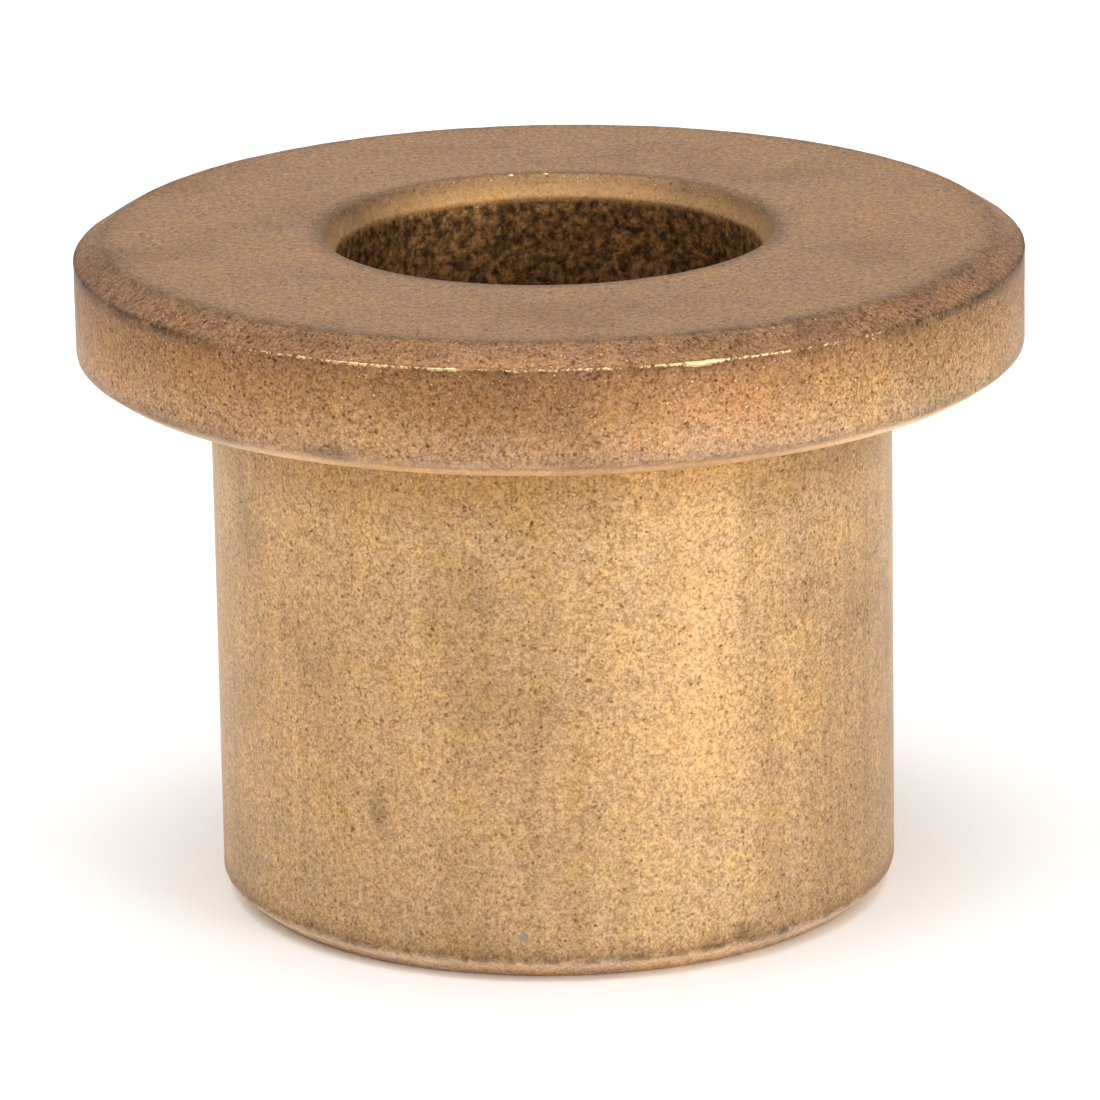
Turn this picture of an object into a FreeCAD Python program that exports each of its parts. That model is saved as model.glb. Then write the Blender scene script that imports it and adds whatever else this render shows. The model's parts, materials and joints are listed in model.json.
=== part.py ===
import FreeCAD, Part
import math
import os

# Flanged sleeve bearing pressed and sintered from bronze powder, in millimetres.
#
# It is one piece: a plain sleeve with a flange at its upper end and a through bore.
# +Z runs along the bore towards the flange. The origin is the centre of the sleeve's
# plain end face, so the bearing stands on z = 0 with its flange on top.

# Driving dimensions. The bore, sleeve and flange thickness are the nominal sizes of a
# standard 10 x 16 x 22 x 16 x 3 bearing. The flange's diameter and the overall length
# are not sized after sintering, so they differ a little from the nominal 22 and 16.
BORE_DIAMETER = 10.0
SLEEVE_DIAMETER = 16.0
FLANGE_DIAMETER = 22.2
OVERALL_LENGTH = 15.9
FLANGE_THICKNESS = 3.0

# Pressed chamfers: width is measured square to the axis and height along it.
BORE_CHAMFER_WIDTH = 0.30
BORE_CHAMFER_HEIGHT = 0.50
RIM_CHAMFER_WIDTH = 0.70
RIM_CHAMFER_HEIGHT = 0.45
FLANGE_EDGE_CHAMFER_WIDTH = 0.45
FLANGE_EDGE_CHAMFER_HEIGHT = 0.32
SLEEVE_END_CHAMFER_WIDTH = 0.60
SLEEVE_END_CHAMFER_HEIGHT = 0.50

# Radius in the corner where the sleeve meets the underside of the flange.
ROOT_RADIUS = 0.30

# Values worked out from them.
BORE_RADIUS = BORE_DIAMETER / 2
SLEEVE_RADIUS = SLEEVE_DIAMETER / 2
FLANGE_RADIUS = FLANGE_DIAMETER / 2
FLANGE_SEAT_HEIGHT = OVERALL_LENGTH - FLANGE_THICKNESS


def point(radius, height):
    """A point of the half section, which lies in the plane y = 0."""
    return FreeCAD.Vector(radius, 0, height)


def sleeve_outline():
    """Straight edges from the upper mouth of the bore, down it and up the sleeve."""
    return Part.makePolygon([
        point(BORE_RADIUS + BORE_CHAMFER_WIDTH, OVERALL_LENGTH),
        point(BORE_RADIUS, OVERALL_LENGTH - BORE_CHAMFER_HEIGHT),
        point(BORE_RADIUS, BORE_CHAMFER_HEIGHT),
        point(BORE_RADIUS + BORE_CHAMFER_WIDTH, 0),
        point(SLEEVE_RADIUS - SLEEVE_END_CHAMFER_WIDTH, 0),
        point(SLEEVE_RADIUS, SLEEVE_END_CHAMFER_HEIGHT),
        point(SLEEVE_RADIUS, FLANGE_SEAT_HEIGHT - ROOT_RADIUS),
    ])


def root_arc():
    """The quarter circle between the sleeve and the underside of the flange."""
    centre_radius = SLEEVE_RADIUS + ROOT_RADIUS
    centre_height = FLANGE_SEAT_HEIGHT - ROOT_RADIUS
    diagonal = ROOT_RADIUS * math.sqrt(0.5)
    arc = Part.Arc(
        point(SLEEVE_RADIUS, centre_height),
        point(centre_radius - diagonal, centre_height + diagonal),
        point(centre_radius, FLANGE_SEAT_HEIGHT),
    )
    return arc.toShape()


def flange_outline():
    """Straight edges from the root, around the flange and back to the bore's mouth."""
    return Part.makePolygon([
        point(SLEEVE_RADIUS + ROOT_RADIUS, FLANGE_SEAT_HEIGHT),
        point(FLANGE_RADIUS - FLANGE_EDGE_CHAMFER_WIDTH, FLANGE_SEAT_HEIGHT),
        point(FLANGE_RADIUS, FLANGE_SEAT_HEIGHT + FLANGE_EDGE_CHAMFER_HEIGHT),
        point(FLANGE_RADIUS, OVERALL_LENGTH - RIM_CHAMFER_HEIGHT),
        point(FLANGE_RADIUS - RIM_CHAMFER_WIDTH, OVERALL_LENGTH),
        point(BORE_RADIUS + BORE_CHAMFER_WIDTH, OVERALL_LENGTH),
    ])


def flanged_bushing():
    """The whole bearing: the half section turned once around the bore's axis."""
    half_section = Part.Wire([sleeve_outline(), root_arc(), flange_outline()])
    origin = FreeCAD.Vector(0, 0, 0)
    bore_axis = FreeCAD.Vector(0, 0, 1)
    return Part.Face(half_section).revolve(origin, bore_axis, 360)


os.makedirs("parts", exist_ok=True)
bushing = flanged_bushing()
bushing.exportStep("parts/flanged_bushing.step")
print("flanged_bushing valid:", bushing.isValid(), "volume in cubic mm:", round(bushing.Volume, 1))
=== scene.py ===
"""Looks of a sintered bronze flanged bushing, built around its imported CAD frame.

Lengths inside this script are in millimetres until a mesh, light or camera is made, and
angles around the bore run anticlockwise from +X, so the front of the bushing is at -90 degrees.
"""
import json
import math

import bpy
import numpy as np
from mathutils import Matrix, Vector


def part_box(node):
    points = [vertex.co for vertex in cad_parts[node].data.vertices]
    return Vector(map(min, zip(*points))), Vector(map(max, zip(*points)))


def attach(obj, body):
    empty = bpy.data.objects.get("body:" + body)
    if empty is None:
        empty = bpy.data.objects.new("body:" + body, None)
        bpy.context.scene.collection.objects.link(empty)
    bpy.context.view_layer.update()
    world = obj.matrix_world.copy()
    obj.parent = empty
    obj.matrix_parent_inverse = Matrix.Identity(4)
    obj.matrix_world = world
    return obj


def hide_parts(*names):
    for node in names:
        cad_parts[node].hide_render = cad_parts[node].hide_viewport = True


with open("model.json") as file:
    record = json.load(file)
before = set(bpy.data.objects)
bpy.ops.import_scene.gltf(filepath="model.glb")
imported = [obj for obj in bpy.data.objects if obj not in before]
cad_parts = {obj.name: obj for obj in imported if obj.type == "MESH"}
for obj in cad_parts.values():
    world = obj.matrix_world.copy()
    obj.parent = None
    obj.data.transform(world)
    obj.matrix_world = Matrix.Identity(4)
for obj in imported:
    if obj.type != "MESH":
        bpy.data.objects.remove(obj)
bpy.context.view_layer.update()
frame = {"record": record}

MM = 0.001
NODE = "flanged_bushing"

# ---------------------------------------------------------------------------
# Sizes, from the frame where it states them
# ---------------------------------------------------------------------------
_, node_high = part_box(NODE)
mounts = {mount["name"]: mount for mount in frame["record"]["mounts"]}

LENGTH = node_high.z / MM
FLANGE_RADIUS = node_high.x / MM
BORE_RADIUS = mounts["shaft_bore"]["dims"]["r_mm"]
SLEEVE_RADIUS = mounts["housing_fit"]["dims"]["r_mm"]
SEAT_HEIGHT = mounts["flange_seat"]["pos_m"][2] / MM

# The CAD part's chamfers, as width square to the axis and height along it.
BORE_CHAMFER = (0.30, 0.50)
RIM_CHAMFER = (0.70, 0.45)
LIP_CHAMFER = (0.45, 0.32)
FOOT_CHAMFER = (0.60, 0.50)
ROOT_RADIUS = 0.30

# Points in each ring of the mesh.
SEGMENTS = 640


# ---------------------------------------------------------------------------
# Noise for the relief
# ---------------------------------------------------------------------------
# Odd multipliers that scatter the bits of a lattice point's three numbers, and then of
# their sum. The shift keeps those numbers above zero.
SCATTER = [np.uint64(value) for value in (73856093, 19349663, 83492791)]
MIXER = np.uint64(0x9E3779B97F4A7C15)
LATTICE_SHIFT = 4096


def lattice_values(cells, seed):
    """A fixed random number from -1 to 1 for each whole-number lattice point."""
    x, y, z = (cells[..., axis].astype(np.uint64) for axis in range(3))
    with np.errstate(over="ignore"):
        mixed = x * SCATTER[0] ^ y * SCATTER[1] ^ z * SCATTER[2]
        mixed = mixed ^ np.uint64(seed * 40503 + 977)
        for _ in range(2):
            mixed = (mixed ^ (mixed >> np.uint64(31))) * MIXER
    top_24_bits = (mixed >> np.uint64(40)).astype(float)
    return top_24_bits / 2**23 - 1


def noise(points, cell, seed):
    """Smooth random values at points, varying over lengths of about one cell."""
    scaled = points / cell + LATTICE_SHIFT
    whole = np.floor(scaled)
    part = scaled - whole
    weight = part * part * (3 - 2 * part)
    total = np.zeros(points.shape[:-1])
    for corner in np.ndindex(2, 2, 2):
        share = np.ones(points.shape[:-1])
        for axis in range(3):
            along_axis = weight[..., axis]
            share = share * (along_axis if corner[axis] else 1 - along_axis)
        total += share * lattice_values(whole + corner, seed)
    return total


# ---------------------------------------------------------------------------
# The half section: rings from the lower mouth of the bore, up it and round
# ---------------------------------------------------------------------------
def corner_points():
    """Corners of the section: radius, height, softening, spacing of the rings after it."""
    bore_width, bore_height = BORE_CHAMFER
    rim_width, rim_height = RIM_CHAMFER
    lip_width, lip_height = LIP_CHAMFER
    foot_width, foot_height = FOOT_CHAMFER
    top, seat = LENGTH, SEAT_HEIGHT
    return {
        "lower_mouth": (BORE_RADIUS + bore_width, 0, 0.05, 0.3),
        "bore_foot": (BORE_RADIUS, bore_height, 0.05, 0.42),
        "bore_top": (BORE_RADIUS, top - bore_height, 0.05, 0.15),
        "upper_mouth": (BORE_RADIUS + bore_width, top, 0.07, 0.40),
        "face_edge": (FLANGE_RADIUS - rim_width, top, 0.10, 0.14),
        "rim": (FLANGE_RADIUS, top - rim_height, 0.03, 0.17),
        "side_foot": (FLANGE_RADIUS, seat + lip_height, 0.07, 0.15),
        "lip": (FLANGE_RADIUS - lip_width, seat, 0.06, 0.55),
        "root": (SLEEVE_RADIUS, seat, ROOT_RADIUS, 0.55),
        "sleeve_foot": (SLEEVE_RADIUS, foot_height, 0.09, 0.16),
        "end_edge": (SLEEVE_RADIUS - foot_width, 0, 0.08, 0.5),
    }


CORNERS = corner_points()
# Extra rings this far from the corners whose edge shows in close-up.
GUARDS = {"face_edge": (0.12, 0.3), "rim": (0.04, 0.09), "side_foot": (0.06,), "sleeve_foot": (0.1,)}
# Rings that bend round each corner, and round the wider radius under the flange.
CORNER_RINGS = 3
ROOT_RINGS = 7


def corner_places():
    """Distance of each corner along the section's outline, and the outline's length."""
    names = list(CORNERS)
    places = {}
    travelled = 0.0
    for index, name in enumerate(names):
        places[name] = travelled
        following = CORNERS[names[(index + 1) % len(names)]]
        here = CORNERS[name]
        travelled += math.hypot(following[0] - here[0], following[1] - here[1])
    return places, travelled


PLACES, OUTLINE = corner_places()


def section_rings():
    """Radius, height and distance along the outline of every ring, in order."""
    names = list(CORNERS)
    rings = []
    for index, name in enumerate(names):
        before = np.array(CORNERS[names[index - 1]][:2])
        here = np.array(CORNERS[name][:2])
        after = np.array(CORNERS[names[(index + 1) % len(names)]][:2])
        softening, spacing = CORNERS[name][2:]
        away_back = (before - here) / np.linalg.norm(before - here)
        away_on = (after - here) / np.linalg.norm(after - here)

        def on_line(distance):
            """A point on the outline's straight runs, at a distance past this corner."""
            direction = away_on if distance > 0 else away_back
            return here + direction * abs(distance)

        for offset in sorted(GUARDS.get(name, ()), reverse=True):
            rings.append((*on_line(-softening - offset), PLACES[name] - softening - offset))
        count = ROOT_RINGS if name == "root" else CORNER_RINGS
        for step in np.linspace(0, 1, count):
            start, end = on_line(-softening), on_line(softening)
            bent = (1 - step) ** 2 * start + 2 * step * (1 - step) * here + step**2 * end
            rings.append((*bent, PLACES[name] + softening * (2 * step - 1)))
        for offset in sorted(GUARDS.get(name, ())):
            rings.append((*on_line(softening + offset), PLACES[name] + softening + offset))

        next_name = names[(index + 1) % len(names)]
        run = np.linalg.norm(after - here)
        start = softening + max(GUARDS.get(name, (0,)))
        end = run - CORNERS[next_name][2] - max(GUARDS.get(next_name, (0,)))
        count = max(1, round((end - start) / spacing))
        for step in range(1, count):
            distance = start + (end - start) * step / count
            rings.append((*on_line(distance), PLACES[name] + distance))
    return np.array(rings)


# ---------------------------------------------------------------------------
# Relief: grain, dents and the burr left along the rim by the press tool
# ---------------------------------------------------------------------------
def bump_at(values, centre, half_width):
    """1 at the centre, falling smoothly to 0 at half_width on either side."""
    reach = np.clip(1 - np.abs(values - centre) / half_width, 0, 1)
    return reach * reach * (3 - 2 * reach)


def between(values, first, last, blend):
    """1 between first and last, falling smoothly to 0 over blend outside them."""
    rise = np.clip((values - first) / blend + 1, 0, 1)
    fall = np.clip((last - values) / blend + 1, 0, 1)
    edge = rise * fall
    return edge * edge * (3 - 2 * edge)


# Stretches of burr: first and last angle in degrees, and strength. At 1 it has its full height.
BURR_STRETCHES = [
    (-139, -130, 0.52),
    (-129, -118, 0.66),
    (-117, -98, 0.90),
    (-97.5, -82, 0.83),
    (-80, -75, 0.90),
    (-74.5, -70.0, 1.30),
    (-69.5, -64, 0.90),
    (-63, -48, 0.72),
    (-20, 5, 0.45),
    (40, 62, 0.90),
    (75, 84, 0.60),
    (110, 148, 0.85),
    (165, 190, 0.50),
]
# Its height and half its width in millimetres, and how many degrees a stretch takes to fade.
BURR_HEIGHT = 0.028
BURR_HALF_WIDTH = 0.065
BURR_FADE = 0.8


def within(angles, first, last, blend):
    """Like between, for angles in degrees that run round past 360."""
    turned = (angles - first + 180) % 360 - 180
    span = last - first
    return np.maximum(between(turned, 0.0, span, blend), between(turned + 360, 0.0, span, blend))


def burr_strength(angles, points):
    """Strength of the burr at each angle, 0 where there is none: broken, ragged and uneven."""
    strength = np.zeros_like(angles)
    for first, last, peak in BURR_STRETCHES:
        strength = np.maximum(strength, peak * within(angles, first, last, BURR_FADE))
    ragged = 0.88 + 0.30 * noise(points, 0.22, 31) + 0.25 * noise(points, 0.6, 32)
    return strength * np.clip(ragged, 0.1, 1.6)


# Dents and chips: angle in degrees, place along the outline, half widths around and
# along it, and depth, in millimetres.
DENTS = [
    (-95.0, PLACES["rim"], 0.35, 0.16, 0.035),
    (-127.0, PLACES["rim"] + 0.9, 0.55, 0.30, 0.012),
    (-59.0, PLACES["rim"] + 0.25, 0.45, 0.25, 0.012),
    (-100.0, PLACES["rim"] + 0.45, 0.5, 0.2, 0.010),
    (25.0, PLACES["rim"], 0.5, 0.2, 0.040),
    (131.0, PLACES["rim"] + 0.1, 0.4, 0.25, 0.030),
    (-62.0, PLACES["sleeve_foot"] + 0.05, 0.6, 0.22, 0.030),
    (-57.0, PLACES["sleeve_foot"] - 0.1, 0.3, 0.18, 0.020),
    (-113.0, PLACES["sleeve_foot"] + 0.15, 0.5, 0.2, 0.020),
    (70.0, PLACES["sleeve_foot"] + 0.1, 0.7, 0.25, 0.030),
    (-121.5, PLACES["root"] + 9.1, 0.25, 0.7, 0.008),
    (-92.0, PLACES["root"] + 5.6, 0.35, 0.5, 0.006),
]

# Bright places where the burr is rolled over, or an edge nicked. They are placed as dents
# are, but end with a strength on the burr's scale.
RUBS = [
    (99.5, PLACES["upper_mouth"], 0.13, 0.07, 1.2),
    (90.5, PLACES["upper_mouth"] + 0.01, 0.11, 0.06, 1.1),
    (-73.7, PLACES["rim"] + 0.045, 0.34, 0.095, 1.5),
    (-72.3, PLACES["rim"] + 0.045, 0.34, 0.085, 1.4),
    (-70.9, PLACES["rim"] + 0.03, 0.34, 0.070, 1.2),
    (-94.3, PLACES["rim"] + 0.03, 0.22, 0.06, 1.1),
    (-120.0, PLACES["rim"], 0.35, 0.07, 1.1),
    (53.0, PLACES["rim"] + 0.05, 0.60, 0.11, 1.3),
    (130.0, PLACES["rim"] + 0.04, 0.45, 0.10, 1.2),
]

# Painted light: paler, yellower patches where light falls brighter on the flange's side, ending with
# a strength from 0 to 1.
PAINTED_LIGHT_PATCHES = [
    (-37.0, PLACES["rim"] + 1.1, 6.2, 1.8, 1.0),
    (-112.0, PLACES["rim"] + 1.2, 2.4, 1.3, 0.5),
    (-146.0, PLACES["rim"] + 1.1, 3.5, 1.5, 0.5),
    (60.0, PLACES["rim"] + 1.1, 4.0, 1.5, 0.8),
    (160.0, PLACES["rim"] + 1.1, 3.0, 1.5, 0.6),
]

# Stains of old oil and rubbed-in dust, and one patch of painted shade over the lip at the left,
# ending with a strength from 0 to 1.
STAINS_AND_SHADE = [
    (-95.2, PLACES["rim"] + 0.02, 0.22, 0.13, 1.00),
    (-98.0, PLACES["rim"] + 0.9, 4.5, 1.3, 0.32),
    (-143.0, PLACES["rim"] + 0.9, 2.6, 0.9, 0.15),
    (-117.0, PLACES["side_foot"] - 0.10, 0.9, 0.30, 0.55),
    (-96.0, PLACES["rim"] + 0.25, 1.0, 0.25, 0.45),
    (-60.0, PLACES["rim"] + 0.95, 0.5, 0.45, 0.30),
    (-135.0, PLACES["rim"] + 0.15, 0.9, 0.25, 0.55),
    # Painted shade: darkens the lip's bright reflection at the left of the flange.
    (-143.0, PLACES["side_foot"] + 0.22, 5.0, 0.45, 0.75),
    (-121.0, PLACES["root"] + 9.0, 0.42, 0.80, 0.62),
    (-178.0, PLACES["root"] + 1.0, 0.20, 0.16, 0.90),
    (-2.0, PLACES["root"] + 7.7, 0.20, 0.20, 0.90),
    (-92.0, PLACES["root"] + 6.3, 0.55, 0.80, 0.38),
    (-101.0, PLACES["root"] + 4.6, 0.8, 0.9, 0.20),
    (-153.0, PLACES["root"] + 3.2, 0.9, 1.5, 0.28),
    (-149.0, PLACES["root"] + 6.0, 0.7, 1.8, 0.24),
    (-31.0, PLACES["root"] + 5.2, 0.6, 2.2, 0.24),
    (-58.0, PLACES["sleeve_foot"] - 0.22, 0.55, 0.20, 0.90),
    (-65.0, PLACES["sleeve_foot"] - 0.10, 0.60, 0.14, 0.95),
    (-70.0, PLACES["sleeve_foot"] - 0.05, 0.45, 0.12, 0.80),
    (-79.0, PLACES["sleeve_foot"] - 0.02, 0.9, 0.15, 0.50),
    (-128.0, PLACES["sleeve_foot"] - 0.05, 1.5, 0.20, 0.50),
    (20.0, PLACES["rim"] + 1.2, 2.5, 0.8, 0.40),
    (75.0, PLACES["root"] + 6.0, 2.2, 2.8, 0.25),
    (140.0, PLACES["sleeve_foot"] - 0.1, 2.0, 0.30, 0.60),
]


def spot(angles, radius, along, angle, place, around, across):
    """1 at the middle of a round or oval spot, falling smoothly to 0 at its edge."""
    sweep = (angles - angle + 180) % 360 - 180
    sideways = np.radians(sweep) * radius / around
    lengthways = (along - place) / across
    inside = np.clip(1 - sideways**2 - lengthways**2, 0, 1)
    return inside * inside


def edge_stains_and_shade(along, angles, points):
    """Painted shadow along the rim corner under the burr, painted shade and darker patina along the
    face's edge, old oil on the chamfer and specks along the sleeve's foot.
    """
    ragged = np.clip(0.75 + 0.5 * noise(points, 0.45, 33), 0, 1)
    # Painted shadow: a dark line along the rim corner under the burr, strongest at the ends.
    ends = np.maximum(within(angles, -190, -137, 6), within(angles, -47, 20, 6))
    front = 0.45 * within(angles, -105, -60, 8)
    behind = 0.6 * within(angles, 30, 160, 10)
    rim = np.maximum(np.maximum(ends, front), behind) * ragged
    # Along the face's edge the line is partly painted shade, partly darker patina.
    facing = within(angles, -140, -35, 25)
    face_edge = (0.18 + 0.30 * facing) * ragged
    chamfer = 0.62 * within(angles, -120, -60, 20) * ragged
    specks = np.clip(3.2 * noise(points, 0.22, 34) - 0.2, 0, 1)
    specks = specks * (0.30 + 0.65 * within(angles, -112, -48, 8))
    return np.maximum.reduce([
        bump_at(along, PLACES["rim"] + 0.05, 0.20) * rim,
        bump_at(along, PLACES["face_edge"] - 0.06, 0.42) * face_edge,
        bump_at(along, PLACES["face_edge"] + 0.35, 0.60) * chamfer,
        bump_at(along, PLACES["sleeve_foot"] - 0.04, 0.15) * specks,
    ])


# Height of the slow waves in every surface, and how far relief may rise above the face.
WAVE_HEIGHT = 0.004
FACE_MARGIN = 0.02


def zone_value(along, table):
    """Interpolate a table of (place along the outline, value)."""
    places, values = zip(*table)
    return np.interp(along, places, values)


def relief_table():
    """How rough each part of the outline is: amplitude of its relief in millimetres."""
    at = PLACES
    return [
        (0, 0.006),
        (at["bore_foot"], 0.006),
        (at["bore_foot"] + 0.3, 0.016),
        (at["bore_top"] - 0.1, 0.016),
        (at["bore_top"] + 0.1, 0.007),
        (at["upper_mouth"], 0.006),
        (at["upper_mouth"] + 0.3, 0.003),
        (at["face_edge"] - 0.3, 0.003),
        (at["face_edge"] + 0.1, 0.010),
        (at["rim"] - 0.1, 0.010),
        (at["rim"] + 0.2, 0.009),
        (at["side_foot"] - 0.2, 0.008),
        (at["side_foot"] + 0.1, 0.003),
        (at["lip"], 0.003),
        (at["root"] + 0.5, 0.002),
        (at["sleeve_foot"] - 0.3, 0.002),
        (at["sleeve_foot"] + 0.1, 0.006),
        (at["end_edge"], 0.006),
        (OUTLINE, 0.005),
    ]


def strongest(marks, angles, radius, along):
    """At every point, the strength of the strongest of several spots."""
    most = 0.0
    for angle, place, around, across, strength in marks:
        mark = strength * spot(angles, radius, along, angle, place, around, across)
        most = np.maximum(most, mark)
    return most


def build_bushing():
    """The visible bushing as one closed mesh of rings, with its relief in the mesh."""
    rings = section_rings()
    count = len(rings)
    degrees = np.arange(SEGMENTS) * 360 / SEGMENTS
    turn = np.radians(degrees)
    radius, height, along = (column[:, None] for column in rings.T)
    points = np.stack(
        np.broadcast_arrays(radius * np.cos(turn), radius * np.sin(turn), height), -1
    )
    edge = np.roll(rings[:, :2], -1, 0) - np.roll(rings[:, :2], 1, 0)
    edge = edge / np.linalg.norm(edge, axis=1, keepdims=True)
    out_radial, out_axial = -edge[:, 1:], edge[:, :1]
    normals = np.stack(
        np.broadcast_arrays(out_radial * np.cos(turn), out_radial * np.sin(turn), out_axial), -1
    )

    angles = np.broadcast_to(degrees, (count, SEGMENTS))
    rim_circle = np.stack(
        [FLANGE_RADIUS * np.cos(turn), FLANGE_RADIUS * np.sin(turn), 0 * turn], -1
    )
    roughness = zone_value(along, relief_table())
    fine = 0.6 * noise(points, 0.32, 11) + 0.5 * noise(points, 0.75, 12)
    lift = roughness * fine + WAVE_HEIGHT * noise(points, 3.0, 13)

    burr_profile = bump_at(along, PLACES["rim"] + 0.01, BURR_HALF_WIDTH)
    burr = burr_strength(degrees, rim_circle)[None, :] * burr_profile
    burr = np.maximum(burr, strongest(RUBS, angles, radius, along))
    lift = lift + BURR_HEIGHT * burr
    for angle, place, around, across, depth in DENTS:
        lift = lift - depth * spot(angles, radius, along, angle, place, around, across)

    # Stains and specks, with the painted shadow along the rim corner and painted shade on the lip at
    # the left.
    stain = edge_stains_and_shade(along, degrees, rim_circle)
    stain = np.maximum(stain, strongest(STAINS_AND_SHADE, angles, radius, along))
    # Painted light: paler patches on the flange's side.
    cleaned = strongest(PAINTED_LIGHT_PATCHES, angles, radius, along)

    points = points + normals * lift[..., None]
    # The end face stays on the floor, and the flange's face stays close to its CAD height.
    points[..., 2] = np.clip(points[..., 2], 0, LENGTH + FACE_MARGIN)

    mesh = bpy.data.meshes.new("bushing_visual")
    vertices = (points * MM).reshape(-1, 3)
    first_ring = np.arange(count)[:, None] * SEGMENTS
    next_ring = (np.arange(count)[:, None] + 1) % count * SEGMENTS
    here = np.arange(SEGMENTS)[None, :]
    beside = (here + 1) % SEGMENTS
    corners = (first_ring + here, next_ring + here, next_ring + beside, first_ring + beside)
    quads = np.stack(np.broadcast_arrays(*corners), -1).reshape(-1, 4)
    mesh.from_pydata(vertices.tolist(), [], quads.tolist())
    mesh.polygons.foreach_set("use_smooth", np.ones(len(quads), bool))

    start = np.broadcast_to(along, (count, SEGMENTS))
    end = np.broadcast_to(np.append(along[1:, 0], OUTLINE)[:, None], (count, SEGMENTS))
    corner_values = np.stack([start, end, end, start], -1).ravel()
    place = mesh.attributes.new("along", "FLOAT", "CORNER")
    place.data.foreach_set("value", corner_values.astype(np.float32))
    for name, values in (("burr", burr), ("stain", stain), ("cleaned", cleaned)):
        layer = mesh.attributes.new(name, "FLOAT", "POINT")
        layer.data.foreach_set("value", values.ravel().astype(np.float32))

    bushing = bpy.data.objects.new("bronze_bushing", mesh)
    bpy.context.scene.collection.objects.link(bushing)
    return bushing


# ---------------------------------------------------------------------------
# Materials
# ---------------------------------------------------------------------------
# Grain: cells of its two sizes per millimetre, the share of each in the tone, its relief.
FINE_GRAIN = 15.5
CLUSTERED_GRAIN = 6.6
FINE_SHARE = 0.56
CLUSTERED_SHARE = 0.44
GRAIN_DEPTH = 0.010

# How far the borders between stretches of colour wander from side to side.
EDGE_WANDER = 0.22

# Tints that the metal's own colour is multiplied by.
DARK_GRAIN = (0.38, 0.27, 0.15, 1)
BRIGHT_GRAIN = (1.62, 1.68, 1.72, 1)
OPEN_PORE = (0.42, 0.31, 0.20, 1)
# Tint of the painted light on the flange's side.
PAINTED_LIGHT_TINT = (1.15, 1.27, 1.24, 1)
# Grey-olive of the stains, also used for the painted shade that shares their mask.
OILY_DUST_AND_SHADE = (0.42, 0.43, 0.42, 1)
UNCHANGED = (1.0, 1.0, 1.0, 1)

# The steel fleck on the front of the sleeve: its angle in degrees and its height.
FLECK_ANGLE = -96.2
FLECK_HEIGHT = 1.18


def linear(red, green, blue):
    """A colour given as it looks on screen, 0 to 255, as linear light."""
    def one(value):
        share = value / 255
        return share / 12.92 if share <= 0.04045 else ((share + 0.055) / 1.055) ** 2.4
    return (one(red), one(green), one(blue), 1.0)


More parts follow.
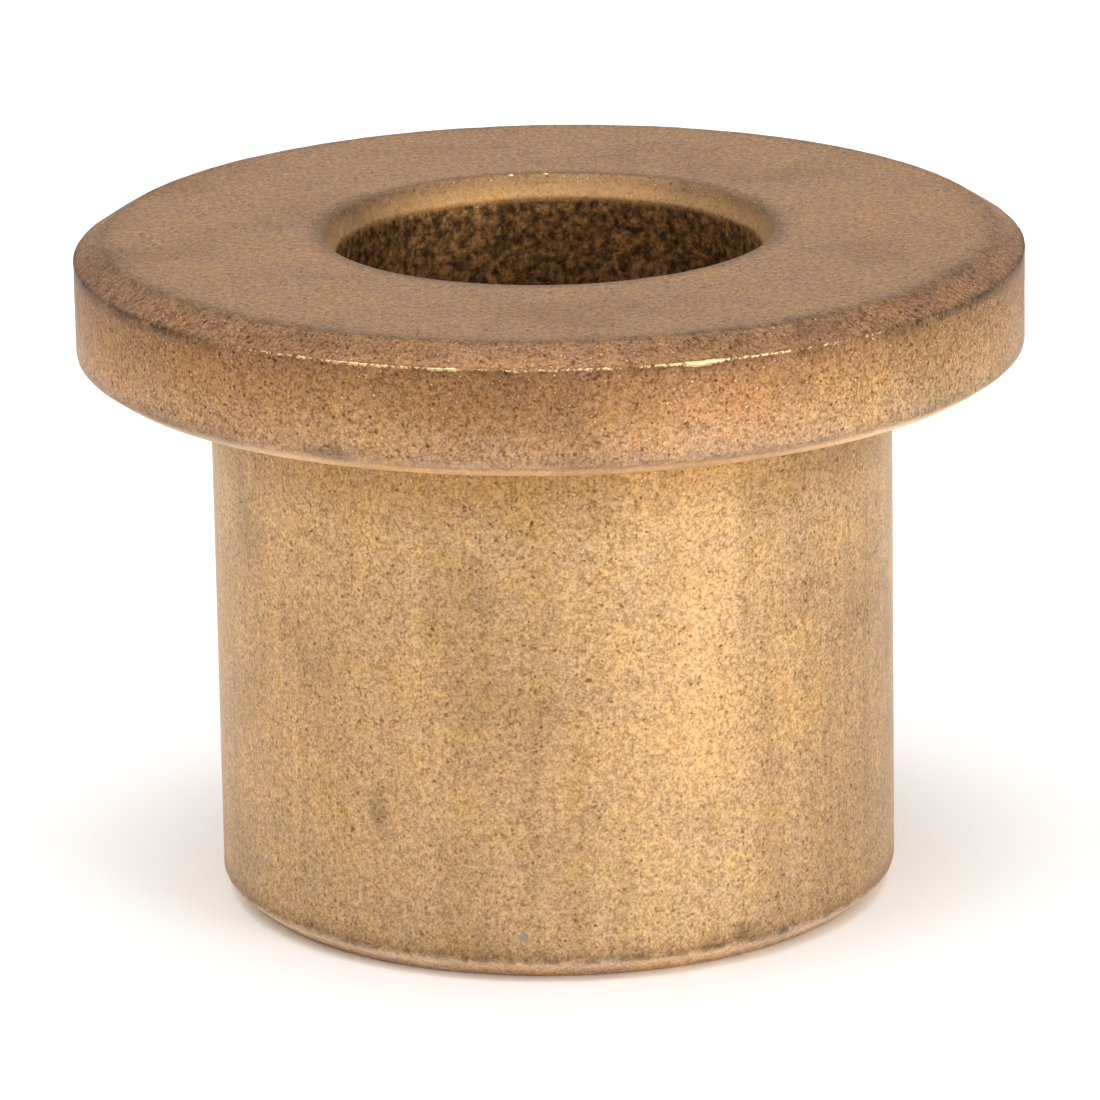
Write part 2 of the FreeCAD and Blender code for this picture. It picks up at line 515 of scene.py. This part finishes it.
class Shader:
    """One material's nodes. Each method adds a node and returns its output socket."""

    def __init__(self, name):
        self.material = bpy.data.materials.new(name)
        self.material.use_nodes = True
        self.tree = self.material.node_tree
        self.surface = self.tree.nodes["Principled BSDF"]
        place = self.tree.nodes.new("ShaderNodeTexCoord")
        scaled = self.node("ShaderNodeVectorMath", operation="SCALE")
        self.tree.links.new(place.outputs["Object"], scaled.inputs["Vector"])
        scaled.inputs["Scale"].default_value = 1 / MM
        self.place = scaled.outputs["Vector"]

    def node(self, kind, **settings):
        made = self.tree.nodes.new(kind)
        for name, value in settings.items():
            setattr(made, name, value)
        return made

    def feed(self, socket, value):
        """Give an input a constant, or link it to another node's output."""
        if isinstance(value, bpy.types.NodeSocket):
            self.tree.links.new(value, socket)
        else:
            socket.default_value = value

    def attribute(self, name):
        return self.node("ShaderNodeAttribute", attribute_name=name).outputs["Fac"]

    def noise(self, cells_per_mm, detail=2.0, roughness=0.5, where=None):
        made = self.node("ShaderNodeTexNoise")
        self.feed(made.inputs["Vector"], where or self.place)
        made.inputs["Scale"].default_value = cells_per_mm
        made.inputs["Detail"].default_value = detail
        made.inputs["Roughness"].default_value = roughness
        return made.outputs["Fac"]

    def stretched(self, share):
        """The place on the part, with heights shrunk so that a texture runs in streaks."""
        made = self.node("ShaderNodeVectorMath", operation="MULTIPLY")
        self.feed(made.inputs[0], self.place)
        made.inputs[1].default_value = (1, 1, share)
        return made.outputs["Vector"]

    def dots(self, cells_per_mm, size, rarity, ragged):
        """Scattered ragged dots: size as a share of the cell, and the share of cells left out."""
        made = self.node("ShaderNodeTexVoronoi")
        self.feed(made.inputs["Vector"], self.place)
        made.inputs["Scale"].default_value = cells_per_mm
        distance = self.math("ADD", made.outputs["Distance"], self.math("MULTIPLY", ragged, 0.7))
        near = self.span(distance, size * 0.6 + 0.35, size * 1.4 + 0.35, 1.0, 0.0)
        chosen = self.span(self.channels(made.outputs["Color"])[0], rarity, rarity + 0.04)
        return self.math("MULTIPLY", near, chosen)

    def math(self, operation, first, second=0.0, clamp=False):
        made = self.node("ShaderNodeMath", operation=operation, use_clamp=clamp)
        self.feed(made.inputs[0], first)
        self.feed(made.inputs[1], second)
        return made.outputs[0]

    def span(self, value, low, high, to_low=0.0, to_high=1.0):
        """Map low..high to to_low..to_high with soft ends."""
        made = self.node("ShaderNodeMapRange", interpolation_type="SMOOTHSTEP")
        self.feed(made.inputs["Value"], value)
        made.inputs["From Min"].default_value = low
        made.inputs["From Max"].default_value = high
        made.inputs["To Min"].default_value = to_low
        made.inputs["To Max"].default_value = to_high
        return made.outputs["Result"]

    def mix(self, share, first, second, blend="MIX"):
        made = self.node("ShaderNodeMix", data_type="RGBA", blend_type=blend)
        self.feed(made.inputs["Factor"], share)
        self.feed(made.inputs[6], first)
        self.feed(made.inputs[7], second)
        return made.outputs[2]

    def tinted(self, colour, tint, share=1.0):
        """The colour multiplied by a tint, or part of the way there."""
        return self.mix(share, colour, tint, "MULTIPLY")

    def ramp(self, value, stops):
        """Colours at places from 0 to 1."""
        made = self.node("ShaderNodeValToRGB")
        self.feed(made.inputs["Fac"], value)
        elements = made.color_ramp.elements
        while len(elements) < len(stops):
            elements.new(1.0)
        for element, (place, colour) in zip(elements, stops):
            element.position = place
            element.color = colour
        return made.outputs["Color"]

    def channels(self, colour):
        made = self.node("ShaderNodeSeparateColor")
        self.feed(made.inputs["Color"], colour)
        return made.outputs["Red"], made.outputs["Green"], made.outputs["Blue"]


def section_colours():
    """Colour of the metal at places along the outline, with painted shade and painted light at some
    of them.
    """
    at = PLACES
    bore = linear(162, 122, 79)
    mouth_low = linear(178, 141, 101)
    mouth_high = linear(140, 110, 80)
    mouth_line = linear(134, 106, 82)
    face = linear(169, 134, 104)
    face_rim = linear(163, 130, 101)
    # Partly painted shade, partly darker patina, along the face's outer edge.
    face_line = linear(148, 116, 88)
    chamfer = linear(152, 116, 89)
    # Painted shadow: a darker line at the rim corner under the burr.
    rim_corner = linear(141, 107, 79)
    side_top = linear(148, 110, 78)
    side_middle = linear(165, 125, 88)
    side_low = linear(178, 141, 106)
    lip_pale = linear(168, 137, 110)
    # Partly painted reflection of the floor, partly burnished metal: the lip's chamfer is pale
    # cream.
    lip = linear(234, 200, 158)
    under = linear(156, 120, 84)
    # Painted shade under the flange: the sleeve is darker just below it.
    sleeve_top = linear(154, 116, 72)
    sleeve = linear(187, 153, 113)
    sleeve_low = linear(183, 153, 117)
    foot_line = linear(160, 128, 97)
    # Painted light: the foot's chamfer and end edge are made paler to undo the shade near the floor.
    foot = linear(232, 208, 182)
    end = linear(196, 164, 130)
    return [
        (0, end),
        (at["bore_foot"] + 0.1, bore),
        (at["bore_top"] - 0.12, bore),
        (at["bore_top"] - 0.04, mouth_low),
        (at["bore_top"] + 0.12, mouth_low),
        (at["upper_mouth"] - 0.10, mouth_high),
        (at["upper_mouth"] + 0.06, mouth_line),
        (at["upper_mouth"] + 0.40, face),
        (at["face_edge"] - 1.1, face),
        (at["face_edge"] - 0.25, face_rim),
        (at["face_edge"] + 0.03, face_line),
        (at["face_edge"] + 0.22, chamfer),
        (at["rim"] - 0.15, chamfer),
        (at["rim"] + 0.02, rim_corner),
        (at["rim"] + 0.30, side_top),
        (at["rim"] + 1.0, side_middle),
        (at["side_foot"] - 0.4, side_low),
        (at["side_foot"] - 0.06, lip_pale),
        (at["side_foot"] + 0.08, lip_pale),
        (at["side_foot"] + 0.18, lip),
        (at["lip"] + 0.05, lip),
        (at["lip"] + 0.3, under),
        (at["root"] - 0.1, under),
        (at["root"] + 0.3, sleeve_top),
        (at["root"] + 2.4, sleeve),
        (at["sleeve_foot"] - 5.0, sleeve),
        (at["sleeve_foot"] - 0.5, sleeve_low),
        (at["sleeve_foot"] - 0.06, foot_line),
        (at["sleeve_foot"] + 0.1, foot),
        (at["end_edge"], end),
    ]


def section_finish():
    """Roughness, strength of the speckle and of the grain's relief along the outline."""
    at = PLACES
    return [
        (0, (0.60, 0.6, 0.6, 1)),
        (at["bore_foot"] + 0.2, (0.62, 0.5, 1.0, 1)),
        (at["bore_top"] - 0.05, (0.62, 0.5, 1.0, 1)),
        (at["bore_top"] + 0.1, (0.62, 0.26, 0.25, 1)),
        (at["upper_mouth"] + 0.1, (0.58, 0.52, 0.20, 1)),
        (at["face_edge"] - 0.3, (0.60, 0.54, 0.20, 1)),
        (at["face_edge"] + 0.1, (0.60, 0.80, 0.9, 1)),
        (at["rim"], (0.58, 0.80, 0.9, 1)),
        (at["side_foot"] - 0.2, (0.56, 0.75, 0.8, 1)),
        (at["side_foot"] + 0.08, (0.52, 0.45, 0.50, 1)),
        (at["side_foot"] + 0.20, (0.52, 0.20, 0.15, 1)),
        (at["lip"] + 0.1, (0.52, 0.20, 0.15, 1)),
        (at["lip"] + 0.4, (0.60, 0.5, 0.5, 1)),
        (at["root"] + 0.3, (0.48, 0.70, 0.45, 1)),
        (at["sleeve_foot"] - 0.1, (0.50, 0.62, 0.40, 1)),
        (at["sleeve_foot"] + 0.1, (0.56, 0.40, 0.45, 1)),
        (at["end_edge"], (0.60, 0.6, 0.6, 1)),
    ]


def add_grain(shader, colour, speckle, fine, clusters, tone):
    """Powder particles under a tenth of a millimetre across, some of them more coppery, with painted
    glints.
    """
    tint = shader.mix(shader.span(tone, 0.30, 0.70), DARK_GRAIN, BRIGHT_GRAIN)
    colour = shader.tinted(colour, tint, speckle)
    copper = shader.ramp(shader.noise(5.5, 2.0, 0.6), [
        (0.36, (1.05, 0.99, 0.89, 1)),
        (0.50, UNCHANGED),
        (0.64, (0.98, 1.01, 1.07, 1)),
    ])
    colour = shader.tinted(colour, copper, speckle)

    # Open pores are dark dots and painted glints are bright ones, both scattered.
    for cells_per_mm, size, rarity in ((8.5, 0.30, 0.80), (4.0, 0.20, 0.89)):
        pores = shader.math("MULTIPLY", shader.dots(cells_per_mm, size, rarity, fine), speckle)
        colour = shader.tinted(colour, OPEN_PORE, pores)
    glints = shader.math("MULTIPLY", shader.dots(12.5, 0.24, 0.86, clusters), speckle)
    # Painted glints: pale dots where grains would catch the light.
    return shader.mix(shader.math("MULTIPLY", glints, 0.8), colour, linear(238, 200, 152))


def open_bore(shader, colour, along):
    """The bore's wall is open and oily: brown particles between near-black pores."""
    bore_top = PLACES["bore_top"]
    inside = shader.span(along, bore_top - 0.16, bore_top - 0.04, 1.0, 0.0)
    wall = shader.ramp(shader.noise(4.6, 2.0, 0.62), [
        (0.35, (0.20, 0.22, 0.24, 1)),
        (0.47, (0.50, 0.50, 0.50, 1)),
        (0.57, (0.82, 0.82, 0.82, 1)),
        (0.68, (1.18, 1.18, 1.12, 1)),
    ])
    return shader.tinted(colour, wall, inside)


def add_patches(shader, colour, along):
    """Slow changes of tone and hue, and marks drawn down the sleeve by the sizing die."""
    clouds = shader.ramp(shader.noise(0.33, 3.0, 0.55), [
        (0.30, (0.86, 0.85, 0.80, 1)),
        (0.48, UNCHANGED),
        (0.66, (1.05, 1.04, 0.97, 1)),
    ])
    patches = shader.ramp(shader.noise(1.0, 3.0, 0.6), [
        (0.30, (1.06, 1.05, 0.94, 1)),
        (0.50, UNCHANGED),
        (0.70, (0.94, 0.95, 0.99, 1)),
    ])
    streaks = shader.ramp(shader.noise(1.5, 3.0, 0.6, shader.stretched(0.05)), [
        (0.32, (0.91, 0.90, 0.86, 1)),
        (0.50, UNCHANGED),
        (0.68, (1.07, 1.06, 1.03, 1)),
    ])
    on_sleeve = shader.span(along, PLACES["root"] + 0.2, PLACES["root"] + 0.8)
    colour = shader.tinted(colour, clouds)
    colour = shader.tinted(colour, patches)
    return shader.tinted(colour, streaks, on_sleeve)


def add_stains_and_painted_light(shader, colour):
    """Painted light makes patches of the flange's side paler and yellower. Stains, and the painted
    shade in their mask, are grey-olive and a little blotchy.
    """
    colour = shader.tinted(colour, PAINTED_LIGHT_TINT, shader.attribute("cleaned"))
    blotch = shader.math("ADD", shader.noise(3.0, 3.0, 0.6), 0.45)
    # Stains turn grey-olive, and so do the painted shade along the rim corner and on the lip.
    stain = shader.math("MULTIPLY", shader.attribute("stain"), blotch, clamp=True)
    return shader.tinted(colour, OILY_DUST_AND_SHADE, stain)


def burr_polish(shader):
    """How far the burr is rubbed to bare metal, from 0 to 1: it comes and goes in beads."""
    burr = shader.attribute("burr")
    beads = shader.math("MULTIPLY", shader.math("SUBTRACT", shader.noise(12.0, 2.0, 0.7), 0.5), 2.8)
    polished = shader.span(shader.math("ADD", burr, beads), 0.50, 0.90)
    return shader.math("MULTIPLY", polished, shader.span(burr, 0.15, 0.50))


def add_fleck(shader, colour, ragged):
    """One grey fleck of steel is pressed into the sleeve near its plain end."""
    turn = math.radians(FLECK_ANGLE)
    away = shader.node("ShaderNodeVectorMath", operation="DISTANCE")
    shader.feed(away.inputs[0], shader.place)
    away.inputs[1].default_value = (
        SLEEVE_RADIUS * math.cos(turn), SLEEVE_RADIUS * math.sin(turn), FLECK_HEIGHT
    )
    distance = shader.math("ADD", away.outputs["Value"], shader.math("MULTIPLY", ragged, 0.15))
    fleck = shader.span(distance, 0.11, 0.20, 0.8, 0.0)
    return shader.mix(fleck, colour, linear(140, 142, 152))


def bronze_material():
    """Sintered bronze: each stretch of the outline has its own colour, grain and gloss."""
    shader = Shader("sintered_bronze")
    wander = shader.math("SUBTRACT", shader.noise(2.2, 3.0, 0.6), 0.5)
    shift = shader.math("MULTIPLY", wander, EDGE_WANDER)
    along = shader.math("ADD", shader.attribute("along"), shift)
    share = shader.math("DIVIDE", along, OUTLINE)
    base = shader.ramp(share, [(place / OUTLINE, colour) for place, colour in section_colours()])
    finish = shader.ramp(share, [(place / OUTLINE, value) for place, value in section_finish()])
    roughness, speckle, depth = shader.channels(finish)

    fine = shader.noise(FINE_GRAIN, 2.0, 0.6)
    clusters = shader.noise(CLUSTERED_GRAIN, 2.0, 0.65)
    fine_part = shader.math("MULTIPLY", fine, FINE_SHARE)
    clustered_part = shader.math("MULTIPLY", clusters, CLUSTERED_SHARE)
    tone = shader.math("ADD", fine_part, clustered_part)

    colour = add_grain(shader, base, speckle, fine, clusters, tone)
    colour = open_bore(shader, colour, along)
    colour = add_patches(shader, colour, along)
    colour = add_stains_and_painted_light(shader, colour)
    polished = burr_polish(shader)
    rubbed = shader.mix(clusters, linear(150, 112, 70), linear(255, 226, 172))
    colour = shader.mix(polished, colour, rubbed)
    colour = add_fleck(shader, colour, clusters)
    shader.feed(shader.surface.inputs["Base Color"], colour)
    shader.surface.inputs["Metallic"].default_value = 1.0

    uneven = shader.math("MULTIPLY", shader.math("SUBTRACT", clusters, 0.5), 0.3)
    roughness = shader.math("ADD", roughness, uneven)
    smoother = shader.math("MULTIPLY", polished, 0.2)
    roughness = shader.math("SUBTRACT", roughness, smoother, clamp=True)
    shader.feed(shader.surface.inputs["Roughness"], roughness)

    bump = shader.node("ShaderNodeBump")
    bump.inputs["Distance"].default_value = GRAIN_DEPTH * MM
    shader.feed(bump.inputs["Height"], tone)
    shader.feed(bump.inputs["Strength"], depth)
    shader.feed(shader.surface.inputs["Normal"], bump.outputs["Normal"])
    return shader.material


def floor_material():
    """Plain pale matte floor."""
    shader = Shader("pale_floor")
    tone = shader.ramp(shader.noise(0.02, 2.0), [
        (0.3, (0.93, 0.93, 0.93, 1)),
        (0.7, (0.95, 0.95, 0.95, 1)),
    ])
    shader.feed(shader.surface.inputs["Base Color"], tone)
    shader.surface.inputs["Roughness"].default_value = 0.9
    shader.surface.inputs["Specular IOR Level"].default_value = 0.1
    return shader.material


# ---------------------------------------------------------------------------
# Stage: floor, light and camera
# ---------------------------------------------------------------------------
FLOOR_SIZE = 3000


def build_floor():
    mesh = bpy.data.meshes.new("floor")
    half = FLOOR_SIZE * MM / 2
    corners = [(-half, -half, 0), (half, -half, 0), (half, half, 0), (-half, half, 0)]
    mesh.from_pydata(corners, [], [(0, 1, 2, 3)])
    floor = bpy.data.objects.new("floor", mesh)
    floor.data.materials.append(floor_material())
    bpy.context.scene.collection.objects.link(floor)
    return floor


def soft_light(name, azimuth, elevation, distance, width, height, power):
    """A rectangular soft box aimed at the bushing, with its power in watts.

    Azimuth 0 is the camera's side, and azimuths run towards the camera's right.
    """
    light = bpy.data.lights.new(name, "AREA")
    light.shape = "RECTANGLE"
    light.size = width * MM
    light.size_y = height * MM
    light.energy = power
    lamp = bpy.data.objects.new(name, light)
    turn, rise = math.radians(azimuth), math.radians(elevation)
    level = math.cos(rise)
    towards = Vector((math.sin(turn) * level, -math.cos(turn) * level, math.sin(rise)))
    target = Vector((0, 0, LENGTH / 2 * MM))
    lamp.location = target + towards * distance * MM
    lamp.rotation_euler = towards.to_track_quat("Z", "Y").to_euler()
    bpy.context.scene.collection.objects.link(lamp)


def build_light():
    world = bpy.data.worlds.new("studio")
    world.use_nodes = True
    background = world.node_tree.nodes["Background"]
    background.inputs["Color"].default_value = (1.0, 0.99, 0.98, 1)
    background.inputs["Strength"].default_value = 0.74
    bpy.context.scene.world = world
    soft_light("key", azimuth=45, elevation=10, distance=500, width=185, height=160, power=1.10)
    soft_light("fill", azimuth=-60, elevation=48, distance=600, width=320, height=320, power=0.48)
    soft_light("overhead", azimuth=0, elevation=80, distance=600, width=600, height=600, power=2.8)


# The camera, about the centre of the flange's face: lengths in millimetres and angles in
# degrees. Tilt turns it to look further down and roll turns the picture.
CAMERA_DISTANCE = 181.5
CAMERA_ELEVATION = 14.106
CAMERA_PAN = 0.030
CAMERA_TILT = 2.379
CAMERA_ROLL = 0.973
SENSOR_WIDTH = 36.0
LENS = 254.2


def build_camera():
    data = bpy.data.cameras.new("camera")
    data.sensor_width = SENSOR_WIDTH
    data.lens = LENS
    data.clip_start = 0.005
    data.clip_end = 10
    camera = bpy.data.objects.new("camera", data)
    rise = math.radians(CAMERA_ELEVATION)
    towards = Vector((0, -math.cos(rise), math.sin(rise)))
    forward = -towards
    right = Vector((1, 0, 0))
    up = right.cross(forward)
    pan = Matrix.Rotation(math.radians(CAMERA_PAN), 3, up)
    forward, right = pan @ forward, pan @ right
    tilt = Matrix.Rotation(-math.radians(CAMERA_TILT), 3, right)
    forward, up = tilt @ forward, tilt @ up
    roll = Matrix.Rotation(math.radians(CAMERA_ROLL), 3, forward)
    right, up = roll @ right, roll @ up
    turned = Matrix((right, up, -forward)).transposed().to_4x4()
    place = Vector((0, 0, LENGTH * MM)) + towards * CAMERA_DISTANCE * MM
    camera.matrix_world = Matrix.Translation(place) @ turned
    bpy.context.scene.collection.objects.link(camera)
    bpy.context.scene.camera = camera


# ---------------------------------------------------------------------------
# Assembly
# ---------------------------------------------------------------------------
bushing = build_bushing()
bushing.data.materials.append(bronze_material())
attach(bushing, "root")
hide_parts(NODE)
build_floor()
build_light()
build_camera()
bpy.context.scene.view_settings.view_transform = "Standard"
